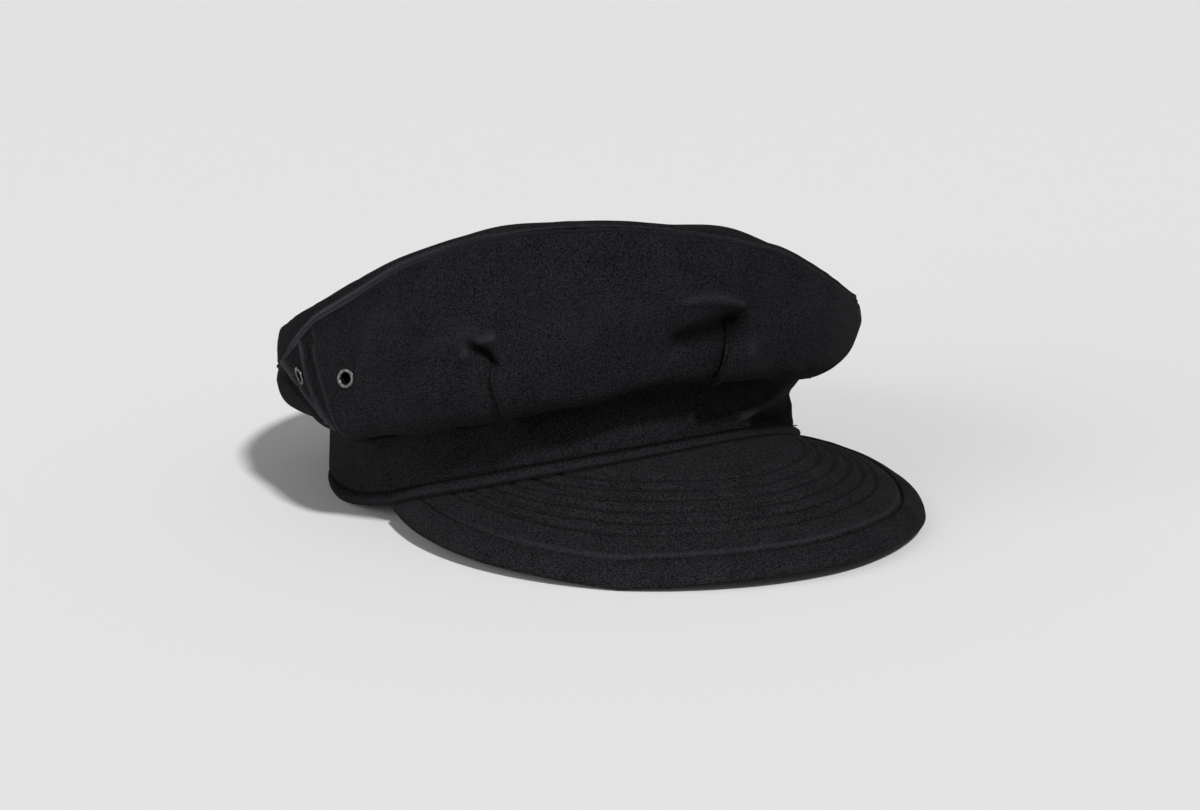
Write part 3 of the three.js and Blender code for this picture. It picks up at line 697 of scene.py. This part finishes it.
# Where they open and end, as shares of the way down. A pair is where a change begins and where it
# is full, and an opening is counted from the pleat's own start
PLEAT_OPENS = (-0.06, 0.09)
PLEAT_ENDS = (0.62, 0.84)
SINK_ENDS = (0.48, 0.68)
PLEAT_SHADING_ENDS = (0.50, 0.66)
LEAN_DONE = 0.6
SWELL_OPENS = (-0.02, 0.14)
SWELL_ENDS = (0.46, 0.66)
SWELL_CLEARS_SEAM = (0.0, 0.15)
FREE_BELOW_SEAM = (0.0, 0.1)
HELD_ABOVE_BAND = (0.7, 0.9)
# Painted shade along the pleats' creases, a painted highlight along the edge of one of them and
# along the top seam, and painted shade under the lip
CREASE_ACROSS = -0.2
CREASE_PAINTED_SHADE = -0.7
HIGHLIT_PLEAT = -99.8
HIGHLIGHT_SPREAD = 12.0
HIGHLIGHT_ACROSS = 1.9
PLEAT_HIGHLIGHT = 0.6
SEAM_HIGHLIGHT = 0.12
SEAM_HIGHLIGHT_MOST = 0.50
SEAM_HIGHLIGHT_ANGLE = -96.0
SEAM_HIGHLIGHT_SPREAD = 28.0
SEAM_HIGHLIGHT_DOWN = 0.018
LIP_SHADE = (0.68, 0.75)
LIP_PAINTED_SHADE = -0.8
# Spans between the outline's seven places, and the step over which its slope is taken
OUTLINE_SPANS = 6
SLOPE_STEP = 0.06
# The rolled edge at the top seam: how far out and up from the seam the cloth lies, in millimetres
SEAM_ROLL = [
    {"out": -2.6, "up": -2.4},
    {"out": -1.3, "up": -0.9},
    {"out": -0.25, "up": 0.1},
    {"out": 0.05, "up": 0.1},
    {"out": 0.15, "up": -0.3},
]
SEAM_RAISE = 0.3
ROLL_ROWS = 8
SIDE_ROWS = 90


def crown_measures(angle):
    """The crown's measures in one direction, between the rows of its table."""
    turned = turn_between(angle, 0.0)
    count = len(CROWN_ROWS)
    row = count - 1
    while row > 0 and CROWN_ROWS[row]["angle"] > turned:
        row -= 1
    span = (CROWN_ROWS[(row + 1) % count]["angle"] - CROWN_ROWS[row]["angle"]) % 360.0
    t = ((turned - CROWN_ROWS[row]["angle"]) % 360.0) / span
    return table_place(CROWN_ROWS, row + t, True)


def crown_outline(m, top):
    """The side's outline from the top seam down to the band, for one direction's measures."""
    lip = top - m["lip_drop"]
    upper_side_out = mix(m["seam_out"], m["belly_out"], UPPER_SIDE_OUT) + UPPER_SIDE_BULGE
    undercut_out = mix(m["lip_out"], m["belly_out"], UNDERCUT_OUT)
    return [
        {"out": m["seam_out"], "z": m["seam_z"] - SEAM_SUNK},
        {"out": upper_side_out, "z": mix(m["seam_z"], m["belly_z"], 0.5)},
        {"out": m["belly_out"], "z": m["belly_z"]},
        {"out": undercut_out, "z": mix(lip, m["belly_z"], m["under"])},
        {"out": m["lip_out"], "z": lip},
        {"out": max(TUCK_LEAST_OUT, m["lip_out"] * TUCK_OUT), "z": mix(lip, top, TUCK_UP)},
        {"out": 1.0, "z": top + BAND_LIP},
    ]


def pleat_lean(angle, down):
    """How many degrees the cloth near the pleats has leaned to the side, part of the way down."""
    reached = math.sin(math.pi / 2 * min(1.0, down / LEAN_DONE))
    return sum(p["drift"] * reached * bell(turn_between(angle, p["angle"]), LEAN_SPREAD) for p in PLEATS)


def swelling(angle, down):
    """How far the cloth that lies on top puffs up beside each pleat."""
    relief = 0.0
    for pleat in PLEATS:
        across = turn_between(angle, pleat["angle"]) * pleat["side"]
        if 0.0 < across < SWELL_REACH:
            puffed = step_up(down - pleat["start"], *SWELL_OPENS)
            puffed *= 1.0 - step_up(down, *SWELL_ENDS)
            relief += pleat["swell"] * bell(across - SWELL_ACROSS, pleat["swell_spread"]) * puffed
    return relief * step_up(down, *SWELL_CLEARS_SEAM)


def folded(angle, down):
    """Where the cloth lies across a pleat, how far it stands out there, and its painted shade and
    highlight.
    """
    for pleat in PLEATS:
        across = turn_between(angle, pleat["angle"]) * pleat["side"]
        if abs(across) < PLEAT_REACH:
            row = 0
            while FOLD_SECTION[row + 1]["at"] < across:
                row += 1
            start = FOLD_SECTION[row]["at"]
            end = FOLD_SECTION[row + 1]["at"]
            lies = table_place(FOLD_SECTION, row + (across - start) / (end - start), False)
            opened = step_up(down - pleat["start"], *PLEAT_OPENS) * pleat["fold"]
            opened *= 1.0 - step_up(down, *PLEAT_ENDS)
            turned = mix(across, lies["turn"], opened) * pleat["side"]
            sunk = lies["sink"] * opened * (1.0 - step_up(down, *SINK_ENDS))
            seen = opened * (1.0 - step_up(down, *PLEAT_SHADING_ENDS))
            # A painted highlight along the edge of one pleat, and painted shade in the crease of each
            highlit = PLEAT_HIGHLIGHT * bell(turn_between(angle, HIGHLIT_PLEAT), HIGHLIGHT_SPREAD)
            highlit *= bell(across - HIGHLIGHT_ACROSS, 0.8)
            painted_dark = CREASE_PAINTED_SHADE * bell(across - CREASE_ACROSS, 0.5)
            return pleat["angle"] + turned, -sunk, seen * (highlit + painted_dark)
    return angle, 0.0, 0.0


outlines = []
for half_degree in range(721):
    turned = half_degree / 2.0 - 180.0
    outlines.append(crown_outline(crown_measures(turned), band_top(turned)))


def side_at(angle, place):
    """How far out and up the smooth side is, at a direction and a place from 0 at the seam to 6."""
    number = (angle + 180.0) % 360.0 * 2.0
    before = outlines[int(number)]
    after = outlines[int(number) + 1]
    first = min(OUTLINE_SPANS - 1, int(place))
    out_z = []
    for name in ("out", "z"):
        near = [
            mix(before[k][name], after[k][name], number - int(number))
            for k in (max(0, first - 1), first, first + 1, min(OUTLINE_SPANS, first + 2))
        ]
        out_z.append(through_four(*near, place - first))
    return out_z


def seam_highlight(angle):
    """How strong the painted highlight along the top seam is, most of all at the wearer's right."""
    return SEAM_HIGHLIGHT + SEAM_HIGHLIGHT_MOST * bell(turn_between(angle, SEAM_HIGHLIGHT_ANGLE), SEAM_HIGHLIGHT_SPREAD)


def side_place(angle, place):
    """Where the side's cloth lies, from -1 inside the seam's roll over 0 at the seam to 6 at the band."""
    level = max(0.0, place)
    down = level / OUTLINE_SPANS
    lies, depth, shading_paint = folded(angle, down)
    leaned = lies + pleat_lean(lies, down)
    out, z = side_at(leaned, level)
    out_above, z_above = side_at(leaned, max(0.0, level - SLOPE_STEP))
    out_below, z_below = side_at(leaned, min(OUTLINE_SPANS, level + SLOPE_STEP))
    slope = math.hypot(out_below - out_above, z_below - z_above)
    face_out = (z_above - z_below) / slope
    face_up = (out_below - out_above) / slope
    flat = head_point(leaned, out, z)
    relief = depth + swelling(lies, down)
    free = step_up(down, *FREE_BELOW_SEAM) * (1.0 - step_up(down, *HELD_ABOVE_BAND))
    fold_rise, fold_shading = fold_marks(CROWN_FOLDS, leaned, z, CROWN_TURN_MM)
    relief += fold_rise * free
    broad = slack(flat, size=46.0, amount=3.0, seed=1.0)
    middling = slack(flat, size=17.0, amount=1.0, seed=4.0)
    fine = slack(flat, size=7.0, amount=0.35, seed=5.0)
    relief += (broad + middling) * free
    relief += fine * (1.0 - free * 0.6)
    relief += SEAM_RAISE * bell(down, 0.02)
    out += face_out * relief
    z += face_up * relief
    if place < 0.0:
        roll = table_place(SEAM_ROLL, (len(SEAM_ROLL) - 1) * (1.0 + place), False)
        out += roll["out"] - SEAM_ROLL[-1]["out"]
        z += roll["up"] - SEAM_ROLL[-1]["up"]
    # Painted shade and highlight from the folds, a painted highlight along the top seam and painted shade
    # under the lip
    shading_paint += fold_shading + seam_highlight(leaned) * bell(down, SEAM_HIGHLIGHT_DOWN)
    shading_paint += LIP_PAINTED_SHADE * step_up(down, *LIP_SHADE)
    return head_point(leaned, out, z), shading_paint


# The steps round the crown, in degrees, which are close at the pleats and where it is seen most
CLOSE_FROM = -115.0
CLOSE_TO = 8.0
AT_PLEAT = 4.0
CLOSE_STEPS = {"at_pleat": 0.32, "between": 0.62}
WIDE_STEPS = {"at_pleat": 0.55, "between": 1.6}
crown_angles = []
step_angle = -180.0
while step_angle < 180.0:
    crown_angles.append(step_angle)
    to_pleat = min(abs(turn_between(step_angle, pleat["angle"])) for pleat in PLEATS)
    steps = CLOSE_STEPS if CLOSE_FROM < step_angle < CLOSE_TO else WIDE_STEPS
    step_angle += steps["at_pleat" if to_pleat < AT_PLEAT else "between"]
crown_angles.append(180.0)


def side_grid_place(round_share, up_share):
    """Where the side's cloth lies, at a share of its steps round and of its rows from the band up."""
    angle = crown_angles[round(round_share * (len(crown_angles) - 1))]
    row = (1.0 - up_share) * (ROLL_ROWS + SIDE_ROWS)
    if row < ROLL_ROWS:
        return side_place(angle, row / ROLL_ROWS - 1.0)
    return side_place(angle, OUTLINE_SPANS * (row - ROLL_ROWS) / SIDE_ROWS)


crown_cloth = napped_cloth("black_crown_cloth", (0.0020, 0.0019, 0.0023), (0.0225, 0.0220, 0.0250), 0.62)
side_mesh = shaped_grid(len(crown_angles) - 1, ROLL_ROWS + SIDE_ROWS, side_grid_place)
bmesh.ops.remove_doubles(side_mesh, verts=side_mesh.verts, dist=CLOTH_CLOSE_TO)
bmesh.ops.recalc_face_normals(side_mesh, faces=side_mesh.faces)
side_tree = BVHTree.FromBMesh(side_mesh)

# Where each eyelet is clenched, and how far its face is turned and tipped by the cloth's fall
EYELET_COLUMNS = ("name", "angle", "height", "turned", "tipped")
EYELETS = [dict(zip(EYELET_COLUMNS, row)) for row in (
    ("eyelet_right_front", -81.0, 61.4, 5.0, 0.0),
    ("eyelet_right_rear", -100.2, 54.4, 0.0, -24.0),
    ("eyelet_left_front", 83.6, 47.0, 0.0, 0.0),
    ("eyelet_left_rear", 101.0, 43.5, 0.0, 0.0),
)]
PUNCHED_RADIUS = 2.7
PRESSED_RADIUS = 4.8
NEAR_EYELET = 8.0
CLEAR_OUT = 60.0
for eyelet in EYELETS:
    start = head_point(eyelet["angle"], CLEAR_OUT, eyelet["height"])
    towards = head_point(eyelet["angle"], -CLEAR_OUT, eyelet["height"]) - start
    hits = [side_tree.ray_cast(start + Vector((0.0, 0.0, dz * MM)), towards) for dz in (-2.0, 0.0, 2.0)]
    facing = sum((hit[1] for hit in hits), Vector())
    if facing.dot(towards) > 0.0:
        facing = -facing
    level = Vector((-facing.y, facing.x, 0.0)).normalized()
    facing.rotate(Matrix.Rotation(math.radians(-eyelet["tipped"]), 3, level))
    facing.rotate(Matrix.Rotation(math.radians(eyelet["turned"]), 3, "Z"))
    eyelet["middle"] = hits[1][0]
    eyelet["facing"] = facing.normalized()
    for vert in side_mesh.verts:
        off = vert.co - eyelet["middle"]
        if off.length < 1.3 * PRESSED_RADIUS * MM:
            height = off.dot(eyelet["facing"])
            flat = off - eyelet["facing"] * height
            pressed = 1.0 - step_up(flat.length / MM, 0.5 * PRESSED_RADIUS, PRESSED_RADIUS)
            vert.co -= eyelet["facing"] * height * pressed
    punched = []
    for face in side_mesh.faces:
        off = face.calc_center_median() - eyelet["middle"]
        if off.length < NEAR_EYELET * MM:
            flat = off - eyelet["facing"] * off.dot(eyelet["facing"])
            if flat.length < PUNCHED_RADIUS * MM:
                punched.append(face)
    bmesh.ops.delete(side_mesh, geom=punched, context="FACES")
crown_side = finished("crown_side_cloth", side_mesh, crown_cloth, "crown_side")
side_wall = crown_side.modifiers.new("cloth", "SOLIDIFY")
side_wall.thickness = CROWN_CLOTH * MM
side_wall.offset = -1.0

# Crown top
# The round top panel, cut a little larger than the seam that holds it, so that it hangs slack,
# tips away from the high front right and breaks into a blunt corner over the low back.
TOP_CENTRE_Z = 101.6
TOP_HIGH_SIDE = math.radians(-37.6)
TOP_TILT = 0.288
TOP_TILT_SAG = 0.0011
TOP_CROSS_TILT = 0.093
TOP_CROSS_SAG = 0.00155
TOP_CROSS_DROP = 1.3e-7
TOP_EDGE_HOLD = 7
TOP_ROLL_SHARE = 0.06
ROLL_HELD_TO = 0.2
TOWARDS_RIM_CROWDING = 1.7
SHOULDER_SHARE = 0.07
# Up the rolled edge from the seam: how far out and up from the seam the cloth lies, in millimetres
TOP_ROLL = [
    {"out": -1.2, "up": -1.0},
    {"out": -0.1, "up": -0.05},
    {"out": 0.3, "up": 0.55},
    {"out": 0.25, "up": 1.3},
]


def top_height(x, y):
    """The slack panel's height over a place in plan, in millimetres from the band's middle."""
    towards = x * math.sin(TOP_HIGH_SIDE) - y * math.cos(TOP_HIGH_SIDE)
    across = x * math.cos(TOP_HIGH_SIDE) + y * math.sin(TOP_HIGH_SIDE)
    rise = TOP_TILT * towards - TOP_TILT_SAG * towards ** 2
    sideways = TOP_CROSS_TILT * across - TOP_CROSS_SAG * across ** 2 - TOP_CROSS_DROP * across ** 4
    return TOP_CENTRE_Z + rise + sideways


def top_place(round_share, in_share):
    """Where the panel's cloth lies, from the seam at 0 over the rolled edge to the middle at 1."""
    angle = -180.0 + 360.0 * round_share
    m = crown_measures(angle)
    rim = head_point(angle, m["seam_out"], 0.0)
    x = (rim.x - band_middle.x) / MM
    y = (rim.y - band_middle.y) / MM
    share = 1.0 - max(0.0, in_share - TOP_ROLL_SHARE) / (1.0 - TOP_ROLL_SHARE)
    share = 1.0 - (1.0 - share) ** TOWARDS_RIM_CROWDING
    near_rim = max(0.0, (share - 1.0 + SHOULDER_SHARE) / SHOULDER_SHARE)
    rise = max(0.0, 1.0 - near_rim ** 4) ** 0.4
    rim_z = m["seam_z"] + 0.15 + m["shoulder"] * rise
    z = mix(top_height(x * share, y * share), rim_z, share ** TOP_EDGE_HOLD)
    point = Vector((band_middle.x + x * share * MM, band_middle.y + y * share * MM, z * MM))
    free = 1.0 - share ** 10
    broad = slack(point, size=70.0, amount=4.0, seed=11.0)
    middling = slack(point, size=24.0, amount=1.2, seed=12.0)
    point.z += (broad + middling) * free * MM
    out = Vector((x, y, 0.0)).normalized()
    spans = len(TOP_ROLL) - 1
    roll = table_place(TOP_ROLL, min(spans, spans * in_share / TOP_ROLL_SHARE), False)
    held = 1.0 - step_up(in_share, TOP_ROLL_SHARE, ROLL_HELD_TO)
    point += (out * roll["out"] + Vector((0.0, 0.0, roll["up"]))) * held * MM
    point += slack(point, size=7.0, amount=0.35, seed=6.0) * out * MM
    # The top's rolled edge carries the same painted highlight as the side's seam
    return point, seam_highlight(angle) * (1.0 - step_up(in_share, 0.025, 0.055))


top_mesh = shaped_grid(420, 84, top_place)
crown_top = finished("crown_top_cloth", top_mesh, crown_cloth, "crown_top")
top_wall = crown_top.modifiers.new("cloth", "SOLIDIFY")
top_wall.thickness = CROWN_CLOTH * MM
top_wall.offset = -1.0

# Eyelets
# Rolled metal eyelets in dull nickel, two on each side of the crown beside its pleat. They are
# pressed through a punched hole and clenched over at the back. The barrel inside is painted near
# black, as painted shade in the hole.
EYELET_SECTION = [
    {"radius": 2.35, "up": -2.6},
    {"radius": 3.2, "up": -2.7},
    {"radius": 3.4, "up": -2.4},
    {"radius": 2.55, "up": -2.2},
    {"radius": 2.55, "up": 0.15},
    {"radius": 3.6, "up": 0.1},
    {"radius": 3.8, "up": 0.35},
    {"radius": 3.6, "up": 0.65},
    {"radius": 3.05, "up": 0.82},
    {"radius": 2.55, "up": 0.75},
    {"radius": 2.25, "up": 0.5},
    {"radius": 2.15, "up": 0.1},
    {"radius": 2.35, "up": -0.2},
]
nickel = bpy.data.materials.new("dull_nickel")
nickel.use_nodes = True
nickel_shader = nickel.node_tree.nodes["Principled BSDF"]
nickel_shader.inputs["Metallic"].default_value = 1.0
nickel_where = nickel.node_tree.nodes.new("ShaderNodeTexCoord")
nickel_wear = nickel.node_tree.nodes.new("ShaderNodeTexNoise")
nickel_wear.inputs["Scale"].default_value = 700.0
nickel_wear.inputs["Detail"].default_value = 4.0
nickel_shade = nickel.node_tree.nodes.new("ShaderNodeValToRGB")
nickel_shade.color_ramp.elements[0].position = 0.35
nickel_shade.color_ramp.elements[0].color = (0.075, 0.073, 0.075, 1.0)
nickel_shade.color_ramp.elements[1].position = 0.75
nickel_shade.color_ramp.elements[1].color = (0.215, 0.210, 0.215, 1.0)
nickel_rough = nickel.node_tree.nodes.new("ShaderNodeMapRange")
nickel_rough.inputs["To Min"].default_value = 0.22
nickel_rough.inputs["To Max"].default_value = 0.42
nickel_links = nickel.node_tree.links
nickel_links.new(nickel_where.outputs["Object"], nickel_wear.inputs["Vector"])
nickel_links.new(nickel_wear.outputs["Fac"], nickel_shade.inputs["Fac"])
nickel_links.new(nickel_shade.outputs["Color"], nickel_shader.inputs["Base Color"])
nickel_links.new(nickel_wear.outputs["Fac"], nickel_rough.inputs["Value"])
nickel_links.new(nickel_rough.outputs["Result"], nickel_shader.inputs["Roughness"])

# Near-black paint on the barrel's inner wall, painted shade that keeps the hole dark
barrel_shade = bpy.data.materials.new("barrel_painted_shade")
barrel_shade.use_nodes = True
barrel_shade_shader = barrel_shade.node_tree.nodes["Principled BSDF"]
barrel_shade_shader.inputs["Base Color"].default_value = (0.006, 0.006, 0.006, 1.0)
barrel_shade_shader.inputs["Roughness"].default_value = 0.7
barrel_shade_shader.inputs["Specular IOR Level"].default_value = 0.1

BARREL_RADIUS = 2.5
BARREL_BACK = -2.6
BARREL_FRONT = 0.45
EYELET_SEAT = 0.1
for eyelet in EYELETS:
    ring = bmesh.new()
    profile = [ring.verts.new((row["radius"] * MM, 0.0, row["up"] * MM)) for row in EYELET_SECTION]
    lines = [ring.edges.new(pair) for pair in zip(profile, profile[1:] + profile[:1])]
    bmesh.ops.spin(
        ring, geom=profile + lines, cent=(0.0, 0.0, 0.0), axis=(0.0, 0.0, 1.0),
        angle=2.0 * math.pi, steps=48, use_merge=True,
    )
    # The barrel's inner faces take the painted shade
    for face in ring.faces:
        middle = face.calc_center_median()
        in_barrel = BARREL_BACK * MM < middle.z < BARREL_FRONT * MM
        if in_barrel and math.hypot(middle.x, middle.y) < BARREL_RADIUS * MM:
            face.material_index = 1
    turn = Vector((0.0, 0.0, 1.0)).rotation_difference(eyelet["facing"]).to_matrix().to_4x4()
    lift = Matrix.Translation(eyelet["middle"] + eyelet["facing"] * EYELET_SEAT * MM)
    bmesh.ops.transform(ring, matrix=lift @ turn, verts=ring.verts)
    piece = finished(eyelet["name"] + "_ring", ring, nickel, eyelet["name"])
    piece.data.materials.append(barrel_shade)

# Floor
# A plain round of pale paper under the cap, so wide that the camera sees no edge of it. It isn't
# part of the object.
floor_mesh = bmesh.new()
bmesh.ops.create_circle(floor_mesh, cap_ends=True, segments=96, radius=6.0)
floor_data = bpy.data.meshes.new("floor")
floor_mesh.to_mesh(floor_data)
floor_mesh.free()
floor = bpy.data.objects.new("floor", floor_data)
bpy.context.scene.collection.objects.link(floor)
paper = bpy.data.materials.new("pale_paper")
paper.use_nodes = True
paper_shader = paper.node_tree.nodes["Principled BSDF"]
paper_shader.inputs["Base Color"].default_value = (0.82, 0.82, 0.82, 1.0)
paper_shader.inputs["Roughness"].default_value = 0.9
floor_data.materials.append(paper)

# Lights
# A key from high in front, a wide low fill from the wearer's right, and pale air. The picture
# keeps the light's own scale, so that black cloth stays black beside the pale floor.
LIGHT_COLUMNS = ("name", "round", "up", "power", "width")
LIGHTS = [dict(zip(LIGHT_COLUMNS, row)) for row in (
    ("key", -14.0, 48.0, 2.7, 6.0),
    ("fill", -88.0, 16.0, 1.3, 50.0),
)]
LIGHT_DISTANCE = 3.0


def direction(round_head, up):
    """The way to something from the cap: degrees round from the front, and degrees up."""
    turned = math.radians(round_head)
    raised = math.radians(up)
    return Vector((
        math.sin(turned) * math.cos(raised),
        -math.cos(turned) * math.cos(raised),
        math.sin(raised),
    ))


for row in LIGHTS:
    light_data = bpy.data.lights.new(row["name"], "SUN")
    light_data.energy = row["power"]
    light_data.angle = math.radians(row["width"])
    light = bpy.data.objects.new(row["name"], light_data)
    light_from = direction(row["round"], row["up"])
    light.location = light_from * LIGHT_DISTANCE
    light.rotation_mode = "QUATERNION"
    light.rotation_quaternion = (-light_from).to_track_quat("-Z", "Y")
    bpy.context.scene.collection.objects.link(light)
air = bpy.data.worlds.new("pale_air")
air.use_nodes = True
air.node_tree.nodes["Background"].inputs["Color"].default_value = (1.0, 1.0, 1.0, 1.0)
air.node_tree.nodes["Background"].inputs["Strength"].default_value = 0.20
bpy.context.scene.world = air
bpy.context.scene.view_settings.view_transform = "Standard"

# Camera
# Set where the photograph was taken from, a little above the cap and to the wearer's right.
VIEW_ROUND = -37.626
VIEW_UP = 14.118
VIEW_DISTANCE = 1.04979
AIM = Vector((-0.036657, -0.071464, 0.05))
view_back = direction(VIEW_ROUND, VIEW_UP)
view_right = direction(VIEW_ROUND + 90.0, 0.0)
view_above = view_back.cross(view_right)
camera_data = bpy.data.cameras.new("camera")
camera_data.lens = 85.0
camera_data.sensor_width = 36.0
camera = bpy.data.objects.new("camera", camera_data)
camera.matrix_world = Matrix((view_right, view_above, view_back)).transposed().to_4x4()
camera.location = AIM + view_back * VIEW_DISTANCE + Vector((band_middle.x, band_middle.y, 0.0))
bpy.context.scene.collection.objects.link(camera)
bpy.context.scene.camera = camera
